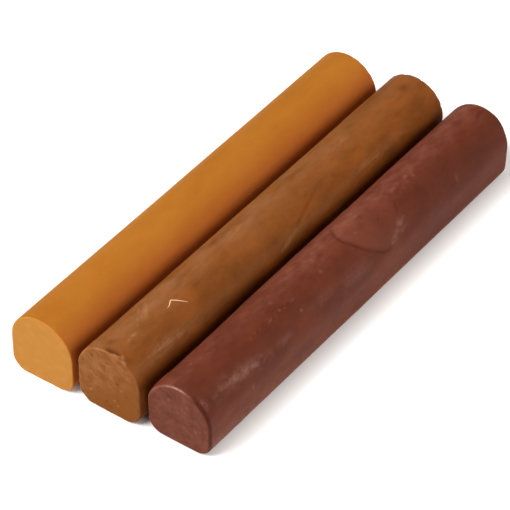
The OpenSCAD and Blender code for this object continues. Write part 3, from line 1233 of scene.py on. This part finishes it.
def cast_wax(name, tints, cloud_mm, stretch, roughness, gloss, grain_um):
    """A pigmented wax: its layers of colour, a patchy roughness and a fine grain as bump."""
    material = bpy.data.materials.new(name)
    material.use_nodes = True
    tree = material.node_tree
    shader = tree.nodes["Principled BSDF"]
    place = add_node(tree, "ShaderNodeTexCoord").outputs["Object"]
    masks = {mask: add_node(tree, "ShaderNodeAttribute", attribute_name=mask).outputs["Fac"]
             for mask in (*MASKS, "face")}
    patches = add_node(tree, "ShaderNodeTexNoise", {
        "Vector": place, "Scale": cells_per_metre(PATCH_MM), "Detail": 4.0, "Roughness": 0.7})
    patchy = patches.outputs["Fac"]
    colour = wax_colour(tree, place, masks, patchy, tints, cloud_mm, stretch)
    tree.links.new(colour, shader.inputs["Base Color"])

    dull = add_node(tree, "ShaderNodeMapRange", {
        "Value": patchy, "To Min": roughness - SMOOTHER, "To Max": roughness + ROUGHER})
    polish_and_painted_sheen = add_node(tree, "ShaderNodeMath", {
        0: masks["polish"], 1: -POLISH, 2: dull.outputs[0]}, operation="MULTIPLY_ADD")
    tree.links.new(polish_and_painted_sheen.outputs[0], shader.inputs["Roughness"])
    grain = add_node(tree, "ShaderNodeTexNoise", {
        "Vector": place, "Scale": cells_per_metre(GRAIN_MM), "Detail": 3.0, "Roughness": 0.6})
    bump = add_node(tree, "ShaderNodeBump", {
        "Height": grain.outputs["Fac"], "Strength": 1.0, "Distance": grain_um * 1e-6})
    tree.links.new(bump.outputs[0], shader.inputs["Normal"])
    shader.inputs["IOR"].default_value = WAX_IOR
    shader.inputs["Specular IOR Level"].default_value = gloss
    shader.inputs["Subsurface Weight"].default_value = GLOW_SHARE
    shader.inputs["Subsurface Radius"].default_value = GLOW_REACH
    shader.inputs["Subsurface Scale"].default_value = MM
    print(name, "has", len(tree.nodes), "nodes")
    return material


print("grain drawn at", GRAIN_MM, "mm")

# %% [markdown]
# ## The three colours
#
# Ochre is the cleanest and the most even in tone. Brown is cloudy, and its top is painted paler as a
# sheen. Mahogany is the darkest and the glossiest, and dust shows on it most. Each gets two colours
# for its clouds, then one each for cut faces, for wear and painted sheen, for dry bloom and painted
# glints, and for stains and painted shade.

# %% Ochre, brown and mahogany
# The worn and bloom tints also paint sheen and glints. The stain tints also paint shade, and on the
# ochre a redder bounce light from the brown stick
OCHRE_TINTS = {
    "deep": "#A5641E", "light": "#AE6D24", "end": "#AC7533",
    "worn": "#C88636", "bloom_and_painted_light": "#D09A50", "stain_and_painted_light": "#BC5030"}
BROWN_TINTS = {
    "deep": "#6D3C14", "light": "#8A4D1C", "end": "#774518",
    "worn": "#905E39", "bloom_and_painted_light": "#AE7E58", "stain_and_painted_light": "#5A2D08"}
MAHOGANY_TINTS = {
    "deep": "#552210", "light": "#652C17", "end": "#53210E",
    "worn": "#814836", "bloom_and_painted_light": "#B49080", "stain_and_painted_light": "#431203"}

# Cast pigmented wax: a dull satin skin that gives the eye soft, cloudy colour with hardly a highlight
ochre_wax = cast_wax("ochre_cast_wax", OCHRE_TINTS, cloud_mm=5.0, stretch=2.0,
                     roughness=0.7, gloss=0.08, grain_um=12)
# The same wax, handled: more cloud, a coarser grain and the least gloss
brown_wax = cast_wax("brown_cast_wax", BROWN_TINTS, cloud_mm=3.2, stretch=1.8,
                     roughness=0.65, gloss=0.07, grain_um=30)
# The same wax, dark and firm: its highlights are soft but plain to see
mahogany_wax = cast_wax("mahogany_cast_wax", MAHOGANY_TINTS, cloud_mm=3.2, stretch=1.6,
                        roughness=0.66, gloss=0.2, grain_um=28)
ochre_skin.data.materials.append(ochre_wax)
brown_skin.data.materials.append(brown_wax)
mahogany_skin.data.materials.append(mahogany_wax)

# %% [markdown]
# ## Scraped wax
#
# Wax that has been scraped up is full of fine cracks and air, which scatter light, so the sliver is
# far paler than the stick that it lies on. A little noise keeps it from being one flat colour.

# %% Scraped wax for the sliver
SCRAPED_MM = 0.8
SCRAPED_ROUGHNESS = 0.6

# Scraped wax: matt and pale, so it gives the eye a thin light line on the brown
scraped_wax = bpy.data.materials.new("scraped_pale_wax")
scraped_wax.use_nodes = True
scraped_tree = scraped_wax.node_tree
scraped_place = add_node(scraped_tree, "ShaderNodeTexCoord").outputs["Object"]
scraped_noise = add_node(scraped_tree, "ShaderNodeTexNoise", {
    "Vector": scraped_place, "Scale": cells_per_metre(SCRAPED_MM), "Detail": 2.0})
scraped_colour = add_node(scraped_tree, "ShaderNodeMix", {
    0: scraped_noise.outputs["Fac"], 6: linear("#D9AE84"), 7: linear("#F2D3B2")}, data_type="RGBA")
scraped_shader = scraped_tree.nodes["Principled BSDF"]
scraped_tree.links.new(scraped_colour.outputs[2], scraped_shader.inputs["Base Color"])
scraped_shader.inputs["Roughness"].default_value = SCRAPED_ROUGHNESS
scraped_shader.inputs["IOR"].default_value = WAX_IOR
sliver.data.materials.append(scraped_wax)
print("scraped wax has", len(scraped_tree.nodes), "nodes")

# %% [markdown]
# ## The table
#
# A sheet of opal acrylic, lit faintly from below, is a usual way to show a small product on white: the
# glow thins the cast shadow and lifts the lower flanks. A dark card under the sheet, a little smaller
# than the set, keeps the glow out of the gaps between the sticks. One large square is all it takes,
# with a glow that reads the distance from the set's own footprint.

# %% Lay the table
# In metres. The table lies a hair lower than the bases, so that the two never fight for a pixel
TABLE_HALF = 1.5
TABLE_DROP = 0.00005

table_mesh = bpy.data.meshes.new("pale_table")
table_corners = [(x * TABLE_HALF, y * TABLE_HALF, -TABLE_DROP)
                 for x, y in ((-1, -1), (1, -1), (1, 1), (-1, 1))]
table_mesh.from_pydata(table_corners, [], [(0, 1, 2, 3)])
table = bpy.data.objects.new("pale_table", table_mesh)
bpy.context.scene.collection.objects.link(table)
print("table of", 2 * TABLE_HALF, "m")

# %% Opal acrylic for the table
TABLE_GLOW = 0.28
TABLE_ROUGHNESS = 0.9
# Over how many metres the glow rises from the card's edge to the set's outline
CARD_EDGE = 0.003

# Opal acrylic sheet: cast, matt and milky, so it gives the eye an even white with no mirror image
table_acrylic = bpy.data.materials.new("opal_acrylic_sheet")
table_acrylic.use_nodes = True
table_tree = table_acrylic.node_tree
table_place = add_node(table_tree, "ShaderNodeTexCoord").outputs["Object"]
table_out = add_node(table_tree, "ShaderNodeVectorMath", {0: table_place}, operation="ABSOLUTE")
table_away = add_node(table_tree, "ShaderNodeVectorMath", {
    0: table_out.outputs[0], 1: cad_high}, operation="SUBTRACT")
table_axes = add_node(table_tree, "ShaderNodeSeparateXYZ", {0: table_away.outputs[0]}).outputs
table_edge = add_node(table_tree, "ShaderNodeMath", {
    0: table_axes[0], 1: table_axes[1]}, operation="MAXIMUM")
table_glow = add_node(table_tree, "ShaderNodeMapRange", {
    "Value": table_edge.outputs[0], "From Min": -CARD_EDGE, "From Max": 0.0, "To Max": TABLE_GLOW})
table_shader = table_tree.nodes["Principled BSDF"]
table_tree.links.new(table_glow.outputs[0], table_shader.inputs["Emission Strength"])
table_shader.inputs["Base Color"].default_value = linear("#F4F4F4")
table_shader.inputs["Roughness"].default_value = TABLE_ROUGHNESS
table_shader.inputs["Emission Color"].default_value = linear("#FFFFFF")
table_mesh.materials.append(table_acrylic)
print("opal acrylic has", len(table_tree.nodes), "nodes")

# %% [markdown]
# ## The lights
#
# The main light is a large softbox to the left of the camera and high up, so that the near faces and
# the crowns are about equally bright. A small, slightly warm softbox from the right and behind picks
# out the right shoulders. The rest of the room is left dim, so the tops keep their colour.

# %% Hang the lights
ROOM_LIGHT = 0.15


def softbox(name, toward, distance, size, watts, colour="#FFFFFF"):
    """A square area light that hangs in a direction from the sticks and faces them."""
    light = bpy.data.lights.new(name, "AREA")
    light.size = size
    light.energy = watts
    light.color = linear(colour)[:3]
    lamp = bpy.data.objects.new(name, light)
    direction = Vector(toward).normalized()
    lamp.location = direction * distance
    lamp.rotation_mode = "QUATERNION"
    lamp.rotation_quaternion = direction.to_track_quat("Z", "Y")
    bpy.context.scene.collection.objects.link(lamp)


softbox("main_softbox", (-0.57, 0.28, 0.77), distance=0.9, size=0.5, watts=10.3)
softbox("right_softbox", (0.42, -0.77, 0.52), distance=1.0, size=0.35, watts=5.0, colour="#FFF6EC")

world = bpy.data.worlds.new("dim_studio")
world.use_nodes = True
world.node_tree.nodes["Background"].inputs["Color"].default_value = linear("#FFFFFF")
world.node_tree.nodes["Background"].inputs["Strength"].default_value = ROOM_LIGHT
bpy.context.scene.world = world
bpy.context.scene.view_settings.view_transform = "Standard"
